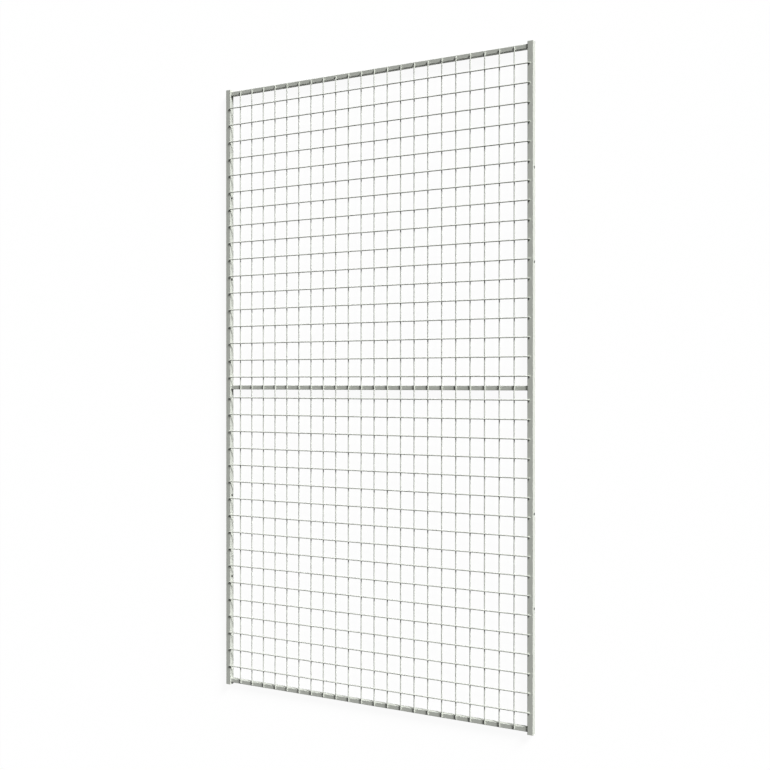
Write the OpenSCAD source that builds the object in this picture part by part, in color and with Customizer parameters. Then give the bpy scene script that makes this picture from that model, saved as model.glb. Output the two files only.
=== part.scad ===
// Welded mesh fence panel: a frame of two square-tube stiles and three square-tube
// rails, with one sheet of welded wire mesh on its front.
// The panel lies on its back: X runs across it, Y up its height and Z out of its
// front. The origin is the middle of the back, on the surface that it rests on.

/* [Frame] */
// Overall width of the panel, over both stiles
panel_width = 1200; // [600:10:1600]
// Overall height of the panel, the length of each stile
panel_height = 2200; // [1600:10:2600]
// Side of the square stile tube
stile_side = 20; // [19:1:40]
// Wall of the stile tube
stile_wall = 1.5; // [1:0.25:3]
// Outer corner radius of the stile tube
stile_corner = 2; // [1:0.5:4]
// Side of the square rail tube
rail_side = 15; // [12:1:16]
// Wall of the rail tube
rail_wall = 1.5; // [1:0.25:2.5]
// Outer corner radius of the rail tube
rail_corner = 1.5; // [1:0.5:3]
// From the end of a stile to the outer edge of the top or bottom rail
rail_inset = 7.5; // [0:0.5:30]

/* [Mesh] */
// Diameter of the vertical wires, which lie against the rails
upright_wire = 4; // [2:0.5:5]
// Diameter of the horizontal wires, which lie across the front
cross_wire = 4; // [2:0.5:5]
// Centre distance of the vertical wires
upright_pitch = 51; // [40:1:100]
// Centre distance of the horizontal wires
cross_pitch = 62; // [40:1:100]
// Least distance from a stile's inner side to the first vertical wire
side_gap = 40; // [10:1:50]
// From the end of a stile to the first horizontal wire
end_gap = 70; // [50:1:120]
// Least distance from the middle rail's centre line to a horizontal wire
middle_gap = 35; // [20:1:50]
// Depth by which the wires are pressed into each other at a weld
weld_sink = 0.4; // [0.2:0.1:0.8]
// Mean length of a horizontal wire's ends that are welded onto the stiles
wire_landing = 7; // [5:0.5:12]
// Distance by which the horizontal wires sit nearer to the right stile's outer side
cross_shift = 3; // [-4:0.5:4]
// From the outer edge of an end rail to the end of a vertical wire
wire_setback = 3; // [1:0.5:6]

/* [Fixing holes] */
// Diameter of the holes through the sides of each stile
hole_diameter = 9; // [5:0.5:12]
// From the end of a stile to its outer hole
outer_hole = 400; // [100:10:450]
// From the end of a stile to its inner hole
inner_hole = 700; // [500:10:750]

/* [Hidden] */

// Faces of the frame
half_width = panel_width / 2;
half_height = panel_height / 2;
stile_inner = half_width - stile_side;
end_rail_y = half_height - rail_inset - rail_side / 2;

// The horizontal wires rest on the front of the stiles, the vertical wires are
// pressed into them from behind, and the rails stand behind the vertical wires.
cross_z = stile_side + cross_wire / 2;
upright_z = stile_side + weld_sink - upright_wire / 2;
rail_front = stile_side + weld_sink - upright_wire;

// Wires that fit at their pitch
upright_count = floor(2 * (stile_inner - side_gap) / upright_pitch) + 1;
cross_count = floor((half_height - end_gap - middle_gap) / cross_pitch) + 1;
upright_end = half_height - rail_inset - wire_setback;
cross_length = 2 * (stile_inner + wire_landing);
cross_start = cross_shift - cross_length / 2;

// Sides of a wire, with flats towards the front, the back and the edges
wire_sides = 8;
// Corners of the tubes are true arcs
$fn = 48;
// Over-reach of the drills on each side
drill_over = 1;

module rounded_square(side, corner) {
    reach = side / 2 - corner;
    square([side, 2 * reach], center = true);
    square([2 * reach, side], center = true);
    for (x = [-reach, reach], y = [-reach, reach])
        translate([x, y]) circle(r = corner);
}

// Square tube along Z, cut off straight and open at both ends
module square_tube(side, wall, corner, length) {
    linear_extrude(height = length, center = true)
        difference() {
            rounded_square(side, corner);
            rounded_square(side - 2 * wall, max(corner - wall, wall / 3));
        }
}

// One stile, on the side given by -1 for the left and 1 for the right
module stile(side) {
    color([0.84, 0.85, 0.81])
        translate([side * (half_width - stile_side / 2), 0, stile_side / 2])
            difference() {
                rotate([90, 0, 0])
                    square_tube(stile_side, stile_wall, stile_corner, panel_height);
                for (end = [-1, 1], from_end = [outer_hole, inner_hole])
                    translate([0, end * (half_height - from_end), 0])
                        rotate([0, 90, 0])
                            cylinder(d = hole_diameter, h = stile_side + 2 * drill_over, center = true);
            }
}

// One rail between the stiles, with its centre line at height y
module rail(y) {
    color([0.84, 0.85, 0.81])
        translate([0, y, rail_front - rail_side / 2])
            rotate([0, 90, 0])
                square_tube(rail_side, rail_wall, rail_corner, 2 * stile_inner);
}

// A straight wire along Z from the origin, with its size given across the flats
module wire(diameter, length) {
    rotate([0, 0, 180 / wire_sides])
        cylinder(r = diameter / 2 / cos(180 / wire_sides), h = length, $fn = wire_sides);
}

// The sheet of mesh on one side of the middle rail's centre line: -1 below, 1 above
module mesh(side) {
    color([0.8, 0.81, 0.78]) {
        for (i = [0 : upright_count - 1])
            translate([(i - (upright_count - 1) / 2) * upright_pitch, 0, upright_z])
                rotate([-90 * side, 0, 0])
                    wire(upright_wire, upright_end);
        for (i = [0 : cross_count - 1])
            translate([cross_start, side * (half_height - end_gap - i * cross_pitch), cross_z])
                rotate([0, 90, 0])
                    wire(cross_wire, cross_length);
    }
}

module left_stile() { stile(-1); }
module right_stile() { stile(1); }
module top_rail() { rail(end_rail_y); }
module middle_rail() { rail(0); }
module bottom_rail() { rail(-end_rail_y); }
module upper_mesh() { mesh(1); }
module lower_mesh() { mesh(-1); }

left_stile();
right_stile();
top_rail();
middle_rail();
bottom_rail();
upper_mesh();
lower_mesh();
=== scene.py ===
import math

import bpy
from mathutils import Matrix, Vector


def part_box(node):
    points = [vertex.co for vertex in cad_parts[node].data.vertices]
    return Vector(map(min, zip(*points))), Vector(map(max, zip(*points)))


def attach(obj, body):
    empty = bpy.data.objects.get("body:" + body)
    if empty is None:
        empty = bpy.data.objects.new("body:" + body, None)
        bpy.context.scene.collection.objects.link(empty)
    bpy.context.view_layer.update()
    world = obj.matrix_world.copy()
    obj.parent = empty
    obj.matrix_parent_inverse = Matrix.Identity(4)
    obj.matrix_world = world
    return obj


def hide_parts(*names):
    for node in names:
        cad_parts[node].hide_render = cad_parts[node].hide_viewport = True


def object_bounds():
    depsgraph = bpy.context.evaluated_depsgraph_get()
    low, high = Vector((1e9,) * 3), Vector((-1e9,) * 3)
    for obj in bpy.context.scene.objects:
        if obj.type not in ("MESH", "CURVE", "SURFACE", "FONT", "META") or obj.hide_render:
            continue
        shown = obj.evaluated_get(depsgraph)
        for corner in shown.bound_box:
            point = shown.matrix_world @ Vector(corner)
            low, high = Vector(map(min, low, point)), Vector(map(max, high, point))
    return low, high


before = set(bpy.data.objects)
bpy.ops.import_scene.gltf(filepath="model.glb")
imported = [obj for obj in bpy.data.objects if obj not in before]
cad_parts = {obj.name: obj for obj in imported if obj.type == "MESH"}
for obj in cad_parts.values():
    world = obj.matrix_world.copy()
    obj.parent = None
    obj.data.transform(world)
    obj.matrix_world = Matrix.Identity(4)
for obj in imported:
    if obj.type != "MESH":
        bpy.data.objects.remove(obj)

cad_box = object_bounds()

# Powder coat
# The whole panel is blasted, sprayed with one light grey polyester powder and baked, so
# tubes and wires share a satin skin with a fine orange peel, a little fuller or thinner
# from place to place. The powder hardly reaches the inside of the tubes.
coat_colour = (0.675, 0.70, 0.637)
coat_fullest = 1.03
coat_thinnest = 0.95
coat_roughness = 0.5
roughness_clouding = 0.10
roughness_grain = 0.08
coat_shine = 0.3
peel_strength = 0.35
# Dark colours of the tube's inside, also used as painted shade on the walls of the holes.
scale_and_hole_shade_dark = (0.018, 0.018, 0.020)
scale_and_hole_shade_light = (0.045, 0.040, 0.036)
scale_roughness = 0.6
mottle_size = 0.02
fleck_size = 0.002
coat_reach = 0.012


class Node:
    """One output of a shader node, so that shader maths reads as plain arithmetic."""

    def __init__(self, tree, socket):
        self.tree = tree
        self.socket = socket

    def maths(self, operation, first, second=0.0):
        settings = {"operation": operation}
        return add_node(self.tree, "ShaderNodeMath", settings, {0: first, 1: second})

    def __add__(self, other):
        return self.maths("ADD", self, other)

    def __mul__(self, other):
        return self.maths("MULTIPLY", self, other)

    def __sub__(self, other):
        return self.maths("SUBTRACT", self, other)

    def __rsub__(self, other):
        return self.maths("SUBTRACT", other, self)

    def __truediv__(self, other):
        return self.maths("DIVIDE", self, other)

    def __rtruediv__(self, other):
        return self.maths("DIVIDE", other, self)

    def __abs__(self):
        return self.maths("ABSOLUTE", self)

    def __or__(self, other):
        return self.maths("MAXIMUM", self, other)

    __radd__ = __add__
    __rmul__ = __mul__
    __ror__ = __or__


def add_node(tree, kind, settings, inputs, output=0):
    """Adds a node, sets its settings, then its inputs, and gives back one of its outputs."""
    node = tree.nodes.new(kind)
    for name, value in settings.items():
        setattr(node, name, value)
    for name, value in inputs.items():
        if isinstance(value, Node):
            tree.links.new(value.socket, node.inputs[name])
        else:
            node.inputs[name].default_value = value
    return Node(tree, node.outputs[output])


def noise(tree, place, size, detail):
    """A soft noise from about 0.3 to 0.7, with lumps of about the given size."""
    inputs = {"Vector": place, "Scale": 1 / size, "Detail": detail, "Roughness": 0.55}
    return add_node(tree, "ShaderNodeTexNoise", {"noise_dimensions": "3D"}, inputs)


def blend(tree, factor, first, second):
    """A colour between two others, each given as three numbers or as a node."""
    ends = [c if isinstance(c, Node) else (*c, 1.0) for c in (first, second)]
    inputs = {0: factor, 6: ends[0], 7: ends[1]}
    return add_node(tree, "ShaderNodeMix", {"data_type": "RGBA"}, inputs, 2)


def new_material(name):
    """A new material with its tree, its surface shader and the place in the object."""
    material = bpy.data.materials.new(name)
    material.use_nodes = True
    tree = material.node_tree
    place = add_node(tree, "ShaderNodeTexCoord", {}, {}, "Object")
    surface = tree.nodes["Principled BSDF"]
    surface.inputs["Specular IOR Level"].default_value = coat_shine
    return material, tree, surface, place


def powder_coat(name, peel_size, patch_size):
    """A satin powder coat. peel_size is the orange peel's grain, patch_size its clouding's."""
    material, tree, surface, place = new_material(name)
    clouding = noise(tree, place, patch_size, 3.0)
    grain = noise(tree, place, peel_size, 2.0)
    speckle = noise(tree, place, peel_size / 3, 0.0)

    fuller = [c * coat_fullest for c in coat_colour]
    thinner = [c * coat_thinnest for c in coat_colour]
    colour = blend(tree, clouding * 0.7 + speckle * 0.3, thinner, fuller)
    uneven = (clouding - 0.5) * roughness_clouding + (grain - 0.5) * roughness_grain
    roughness = uneven + coat_roughness
    height = grain * 0.8 + speckle * 0.2
    peel_depth = peel_size / 12
    relief = {"Strength": peel_strength, "Distance": peel_depth, "Height": height}
    bump = add_node(tree, "ShaderNodeBump", {}, relief)
    tree.links.new(colour.socket, surface.inputs["Base Color"])
    tree.links.new(roughness.socket, surface.inputs["Roughness"])
    tree.links.new(bump.socket, surface.inputs["Normal"])
    return material


def tube_inside(name, tube_end):
    """Dark mill scale with the coat reaching in from the open ends; painted shade on hole walls.
    """
    material, tree, surface, place = new_material(name)
    mottle = noise(tree, place, mottle_size, 4.0)
    flecks = noise(tree, place, fleck_size, 2.0)
    bare = blend(tree, mottle * 0.6 + flecks * 0.4, scale_and_hole_shade_dark, scale_and_hole_shade_light)

    along = add_node(tree, "ShaderNodeSeparateXYZ", {}, {0: place}, "Y")
    depth = (tube_end - abs(along)) / coat_reach + (mottle - 0.5)
    bareness = add_node(tree, "ShaderNodeClamp", {}, {0: depth})
    colour = blend(tree, bareness, coat_colour, bare)
    roughness = flecks * 0.2 + scale_roughness
    tree.links.new(colour.socket, surface.inputs["Base Color"])
    tree.links.new(roughness.socket, surface.inputs["Roughness"])
    return material


tube_coat = powder_coat("tube_powder_coat", peel_size=0.0016, patch_size=0.09)
wire_coat = powder_coat("wire_powder_coat", peel_size=0.0009, patch_size=0.05)
mill_scale_and_hole_shade = tube_inside("tube_mill_scale", cad_box[1].y)

# Stiles
# Two lengths of square steel tube, roll-formed with rounded corners, sawn off straight and
# deburred. Each is drilled through both side walls in four places, for the bolts that hold
# the panel to its posts. The walls of the holes are given the tube's dark inside colour,
# as painted shade in the holes.
stile_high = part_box("right_stile")[1]
tube_wall = 0.0015
stile_corner = 0.002
corner_steps = 6
stile_holes = (0.4, 0.7)
hole_radius = 0.0045
hole_sides = 32
deburr = 0.0003
deburr_steps = 2
facing = 0.5
touching = 1e-5
smooth_below = 35
normal_weight = 100


def edit_selected(chosen_edges=None, chosen_faces=None):
    """Goes into edit mode on the active mesh with only the chosen edges or faces selected."""
    mesh = bpy.context.object.data
    bpy.ops.object.mode_set(mode="EDIT")
    bpy.ops.mesh.select_mode(type="FACE" if chosen_faces else "EDGE")
    bpy.ops.mesh.select_all(action="DESELECT")
    bpy.ops.object.mode_set(mode="OBJECT")
    if chosen_faces:
        for polygon in mesh.polygons:
            polygon.select = chosen_faces(polygon)
    else:
        for edge in mesh.edges:
            ends = [mesh.vertices[i].co for i in edge.vertices]
            edge.select = chosen_edges(*ends)
    bpy.ops.object.mode_set(mode="EDIT")


def bevel_edges(chosen_edges, width, segments):
    """Rounds the chosen edges of the active mesh."""
    edit_selected(chosen_edges=chosen_edges)
    bpy.ops.mesh.bevel(offset=width, segments=segments, affect="EDGES")
    bpy.ops.object.mode_set(mode="OBJECT")


def apply_modifier(piece, kind, settings):
    """Adds a modifier to a piece, with its settings, and applies it."""
    modifier = piece.modifiers.new(kind.lower(), kind)
    for name, value in settings.items():
        setattr(modifier, name, value)
    bpy.ops.object.modifier_apply(modifier=modifier.name)


def block(name, low, high):
    """A plain block between two corners of its box."""
    bpy.ops.object.select_all(action="DESELECT")
    bpy.ops.mesh.primitive_cube_add(size=1, location=(low + high) / 2)
    piece = bpy.context.object
    piece.name = name
    piece.scale = high - low
    bpy.ops.object.transform_apply(location=True, rotation=True, scale=True)
    return piece


def square_tube(name, low, high, along, corner):
    """A square tube between two corners of its box, open at its ends, along axis 0 or 1."""
    piece = block(name, low, high)
    piece.data.materials.append(tube_coat)
    # The second material is the dark inside, which also serves as painted shade on hole walls.
    piece.data.materials.append(mill_scale_and_hole_shade)
    edit_selected(chosen_faces=lambda face: abs(face.normal[along]) > facing)
    bpy.ops.mesh.delete(type="FACE")
    bpy.ops.object.mode_set(mode="OBJECT")
    bevel_edges(lambda a, b: abs((a - b)[along]) > corner, corner, corner_steps)

    wall = {"thickness": tube_wall, "offset": -1, "use_even_offset": True, "material_offset": 1}
    apply_modifier(piece, "SOLIDIFY", wall)

    def on_outer_rim(point):
        inset = (high - low) / 2 - Vector(abs(c) for c in point - (low + high) / 2)
        across = [inset[k] for k in range(3) if k != along]
        return abs(inset[along]) < touching and min(across) < tube_wall / 2

    def is_rim(a, b):
        return on_outer_rim(a) and on_outer_rim(b) and abs((a - b)[along]) < corner

    bevel_edges(is_rim, deburr, deburr_steps)
    return piece


def cut_away(piece, cutters):
    """Cuts the shapes of the cutters out of a piece."""
    bpy.ops.object.select_all(action="DESELECT")
    for cutter in cutters:
        cutter.select_set(True)
    bpy.context.view_layer.objects.active = cutters[0]
    bpy.ops.object.join()
    joined = bpy.context.object
    bpy.ops.object.select_all(action="DESELECT")
    bpy.context.view_layer.objects.active = piece
    piece.select_set(True)
    cut = {"operation": "DIFFERENCE", "object": joined, "solver": "EXACT"}
    apply_modifier(piece, "BOOLEAN", cut)
    bpy.data.objects.remove(joined)


def drill(piece, low, high, centres, radius):
    """Drills holes along X through both side walls of a tube and breaks their outer edges.

    A countersink is a cone that stands half out of the wall, so it cuts deburr wide and deep.
    """
    drills = []
    countersinks = []
    for centre in centres:
        bpy.ops.object.select_all(action="DESELECT")
        bpy.ops.mesh.primitive_cylinder_add(
            vertices=hole_sides,
            radius=radius,
            depth=2 * (high.x - low.x),
            location=centre,
            rotation=(0, math.pi / 2, 0),
        )
        drills.append(bpy.context.object)
        for side, face_x in ((-1, low.x), (1, high.x)):
            bpy.ops.object.select_all(action="DESELECT")
            bpy.ops.mesh.primitive_cone_add(
                vertices=hole_sides,
                radius1=radius - deburr,
                radius2=radius + 3 * deburr,
                depth=4 * deburr,
                location=(face_x, centre.y, centre.z),
                rotation=(0, side * math.pi / 2, 0),
            )
            countersinks.append(bpy.context.object)
    cut_away(piece, drills)
    cut_away(piece, countersinks)

    # The walls of the holes take the dark inside material, as painted shade in the holes.
    for face in piece.data.polygons:
        place = face.center
        from_axis = min(math.hypot(place.y - c.y, place.z - c.z) for c in centres)
        if from_axis < radius + touching and abs(face.normal.x) < facing:
            face.material_index = 1


def finish_piece(piece, material=None, smooth_angle=smooth_below):
    """Shades a finished piece, gives it a material where it has none and hangs it on the frame."""
    bpy.ops.object.select_all(action="DESELECT")
    bpy.context.view_layer.objects.active = piece
    piece.select_set(True)
    bpy.ops.object.shade_smooth_by_angle(angle=math.radians(smooth_angle))
    apply_modifier(piece, "WEIGHTED_NORMAL", {"keep_sharp": True, "weight": normal_weight})
    if material:
        piece.data.materials.append(material)
    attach(piece, "root")


for name in ("left_stile", "right_stile"):
    low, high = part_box(name)
    stile = square_tube(name + "_tube", low, high, 1, stile_corner)
    centres = []
    for end in (-1, 1):
        for from_end in stile_holes:
            y = end * (high.y - from_end)
            centres.append(Vector(((low.x + high.x) / 2, y, (low.z + high.z) / 2)))
    drill(stile, low, high, centres, hole_radius)
    finish_piece(stile)
    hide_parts(name)

# Rails
# Three shorter lengths of a smaller square tube, cut to fit between the stiles and welded
# all round to their inner sides, set back by the thickness of the wires that cross them.
rail_corner = 0.0015
weld_leg = 0.0012
weld_round = 0.9 * weld_leg
weld_round_steps = 3
seam_corner = rail_corner + weld_leg
seam_corner_steps = 4
seam_smooth_below = 80

for name in ("top_rail", "middle_rail", "bottom_rail"):
    low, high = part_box(name)
    rail = square_tube(name + "_tube", low, high, 0, rail_corner)
    finish_piece(rail)
    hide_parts(name)

    for side, end, word in ((-1, low.x, "left"), (1, high.x, "right")):
        foot = end - side * weld_leg
        around = Vector((0, weld_leg, weld_leg))
        seam_low = Vector((min(foot, end), low.y, low.z)) - around
        seam_high = Vector((max(foot, end), high.y, high.z)) + around
        seam = block(f"{name}_seam_{word}", seam_low, seam_high)

        def is_corner(a, b):
            return abs(a.x - b.x) > weld_leg / 2

        def is_foot(a, b):
            return max(abs(a.x - foot), abs(b.x - foot)) < touching

        bevel_edges(is_corner, seam_corner, seam_corner_steps)
        bevel_edges(is_foot, weld_round, weld_round_steps)
        finish_piece(seam, tube_coat, seam_smooth_below)
        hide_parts(name)

# Wires
# Straight drawn steel wire, cut to length and resistance-welded into one sheet: the upright
# wires lie on the rails, and the cross wires lie over them and end on the stiles.
sheet_low, sheet_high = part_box("upper_mesh")
weld_sink = 0.0004
upright_count = 22
upright_pitch = 0.051
cross_count = 17
cross_pitch = 0.062
first_cross = 0.070
wire_sides = 16
wire_end_round = 0.0004
wire_end_steps = 2
stile_front = stile_high.z
cross_radius = (sheet_high.z - stile_front) / 2
upright_radius = (stile_front + weld_sink - sheet_low.z) / 2
cross_z = stile_front + cross_radius
upright_z = sheet_low.z + upright_radius
first_upright = -(upright_count - 1) / 2 * upright_pitch
first_height = stile_high.y - first_cross


def wire(name, radius, start, end):
    """A round wire between two points, with its sheared ends a little rounded."""
    bpy.ops.object.select_all(action="DESELECT")
    bpy.ops.mesh.primitive_cylinder_add(
        vertices=wire_sides,
        radius=radius,
        depth=(end - start).length,
        location=(start + end) / 2,
        rotation=(end - start).to_track_quat("Z", "Y").to_euler(),
    )
    piece = bpy.context.object
    piece.name = name
    bpy.ops.object.transform_apply(location=True, rotation=True, scale=True)
    along = 0 if abs(end.x - start.x) > abs(end.y - start.y) else 1
    bevel_edges(lambda a, b: abs(a[along] - b[along]) < radius, wire_end_round, wire_end_steps)
    return piece


def copies(piece, offsets):
    """Copies a piece to each offset and joins the copies to it."""
    made = [piece]
    for offset in offsets:
        copy = piece.copy()
        copy.data = piece.data.copy()
        copy.data.transform(Matrix.Translation(offset))
        bpy.context.collection.objects.link(copy)
        made.append(copy)
    bpy.ops.object.select_all(action="DESELECT")
    for one in made:
        one.select_set(True)
    bpy.context.view_layer.objects.active = piece
    bpy.ops.object.join()
    return bpy.context.object


upright_steps = [Vector((i * upright_pitch, 0, 0)) for i in range(upright_count)]
uprights = wire(
    "upright_wires",
    upright_radius,
    Vector((first_upright, -sheet_high.y, upright_z)),
    Vector((first_upright, sheet_high.y, upright_z)),
)
uprights = copies(uprights, upright_steps[1:])
finish_piece(uprights, wire_coat)
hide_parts("upper_mesh", "lower_mesh")

for side, half in ((1, "upper"), (-1, "lower")):
    cross_steps = [Vector((0, -side * i * cross_pitch, 0)) for i in range(cross_count)]
    crosses = wire(
        half + "_cross_wires",
        cross_radius,
        Vector((sheet_low.x, side * first_height, cross_z)),
        Vector((sheet_high.x, side * first_height, cross_z)),
    )
    crosses = copies(crosses, cross_steps[1:])
    finish_piece(crosses, wire_coat)
    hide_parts(half + "_mesh")

# Wire welds
# At each crossing the two wires are pressed together hot, which squeezes a little metal out
# between them. The upright wires are fixed to the rails and the cross wires to the stiles
# by the same kind of weld.
crossing_nugget = Vector((0.0025, 0.0025, 0.0009))
rail_nugget = Vector((0.0019, 0.0028, 0.0006))
stile_nugget = Vector((0.0030, 0.0024, 0.0007))
left_weld_in = 0.003
right_weld_in = 0.006
nugget_sides = 10
nugget_rings = 5
smooth_everywhere = 180


def nugget(name, place, half_size):
    """A flat round nugget of squeezed-out metal."""
    bpy.ops.object.select_all(action="DESELECT")
    bpy.ops.mesh.primitive_uv_sphere_add(
        segments=nugget_sides, ring_count=nugget_rings, radius=1, location=place
    )
    piece = bpy.context.object
    piece.name = name
    piece.scale = half_size
    bpy.ops.object.transform_apply(location=True, rotation=True, scale=True)
    return piece


for side, half in ((1, "upper"), (-1, "lower")):
    cross_steps = [Vector((0, -side * i * cross_pitch, 0)) for i in range(cross_count)]
    contact = Vector((first_upright, side * first_height, stile_front + weld_sink / 2))
    crossings = nugget(half + "_crossing_welds", contact, crossing_nugget)
    steps = [across + down for across in upright_steps for down in cross_steps]
    crossings = copies(crossings, steps[1:])
    finish_piece(crossings, wire_coat, smooth_everywhere)
    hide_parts(half + "_mesh")

    left = Vector((sheet_low.x + left_weld_in, side * first_height, stile_front))
    right = Vector((sheet_high.x - right_weld_in, side * first_height, stile_front))
    endings = nugget(half + "_stile_welds", left, stile_nugget)
    steps = [across + down for across in (Vector(), right - left) for down in cross_steps]
    endings = copies(endings, steps[1:])
    finish_piece(endings, wire_coat, smooth_everywhere)
    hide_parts(half + "_mesh")

for name, half in (("top_rail", "upper"), ("middle_rail", "upper"), ("bottom_rail", "lower")):
    low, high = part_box(name)
    contact = Vector((first_upright, (low.y + high.y) / 2, high.z))
    fixings = nugget(name + "_wire_welds", contact, rail_nugget)
    fixings = copies(fixings, upright_steps[1:])
    finish_piece(fixings, wire_coat, smooth_everywhere)
    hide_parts(half + "_mesh")

# Studio
# A plain pale floor that the panel lies on, a low key light from the top right, a lower and
# softer light beside it and a dim even sky. The floor and the sky show white to the camera.
floor_size = 60.0
floor_glow = 0.945
floor_grey = (0.5, 0.5, 0.5)
floor_seen = (0.11, 0.11, 0.11)
key_from = (0.64, 0.70, 0.31)
key_strength = 4.25
key_spread = 18
side_from = (0.68, 0.73, 0.10)
side_strength = 0.85
side_spread = 30
sky_strength = 0.03


def seen_ray(tree):
    """1 for rays that show the backdrop: seen straight, mirrored or through something."""
    kinds = ("Is Camera Ray", "Is Glossy Ray", "Is Transmission Ray")
    straight, mirrored, through = [
        add_node(tree, "ShaderNodeLightPath", {}, {}, kind) for kind in kinds
    ]
    return straight | mirrored | through


bpy.ops.object.select_all(action="DESELECT")
bpy.ops.mesh.primitive_plane_add(size=floor_size, location=(0, 0, cad_box[0].z))
floor = bpy.context.object
floor.name = "floor"
paint = bpy.data.materials.new("pale_floor")
paint.use_nodes = True
tree = paint.node_tree
tree.nodes.clear()
seen = seen_ray(tree)
glow = add_node(tree, "ShaderNodeEmission", {}, {"Strength": seen * floor_glow})
tint = blend(tree, seen, floor_grey, floor_seen)
matt = add_node(tree, "ShaderNodeBsdfDiffuse", {}, {"Color": tint})
both = add_node(tree, "ShaderNodeAddShader", {}, {0: glow, 1: matt})
out = tree.nodes.new("ShaderNodeOutputMaterial")
tree.links.new(both.socket, out.inputs["Surface"])
floor.data.materials.append(paint)


def sun(name, towards, strength, spread):
    """A sun lamp that shines from a direction."""
    lamp = bpy.data.lights.new(name, "SUN")
    lamp.energy = strength
    lamp.angle = math.radians(spread)
    holder = bpy.data.objects.new(name, lamp)
    holder.rotation_mode = "QUATERNION"
    holder.rotation_quaternion = Vector(towards).to_track_quat("Z", "Y")
    bpy.context.collection.objects.link(holder)


sun("key_light", key_from, key_strength, key_spread)
sun("side_light", side_from, side_strength, side_spread)

world = bpy.data.worlds.new("studio")
bpy.context.scene.world = world
world.use_nodes = True
tree = world.node_tree
tree.nodes.clear()
strength = seen_ray(tree) * (1 - sky_strength) + sky_strength
sky = add_node(tree, "ShaderNodeBackground", {}, {"Color": (1, 1, 1, 1), "Strength": strength})
out = tree.nodes.new("ShaderNodeOutputWorld")
tree.links.new(sky.socket, out.inputs["Surface"])

# Camera
# It looks down on the panel from its right, at the angle and distance from which the real
# panel was photographed as it stood, so that the panel's top is at the picture's top.
camera_place = (1.7338, 0.0171, 3.1296)
camera_yaw = 28.17
camera_pitch = -0.125
sensor_width = 36.0
focal_length = 48.457

lens = bpy.data.cameras.new("camera")
lens.sensor_width = sensor_width
lens.lens = focal_length
camera = bpy.data.objects.new("camera", lens)
camera.location = camera_place
camera.rotation_euler = (math.radians(camera_pitch), math.radians(camera_yaw), 0)
bpy.context.collection.objects.link(camera)
bpy.context.scene.camera = camera
bpy.context.scene.view_settings.view_transform = "Standard"
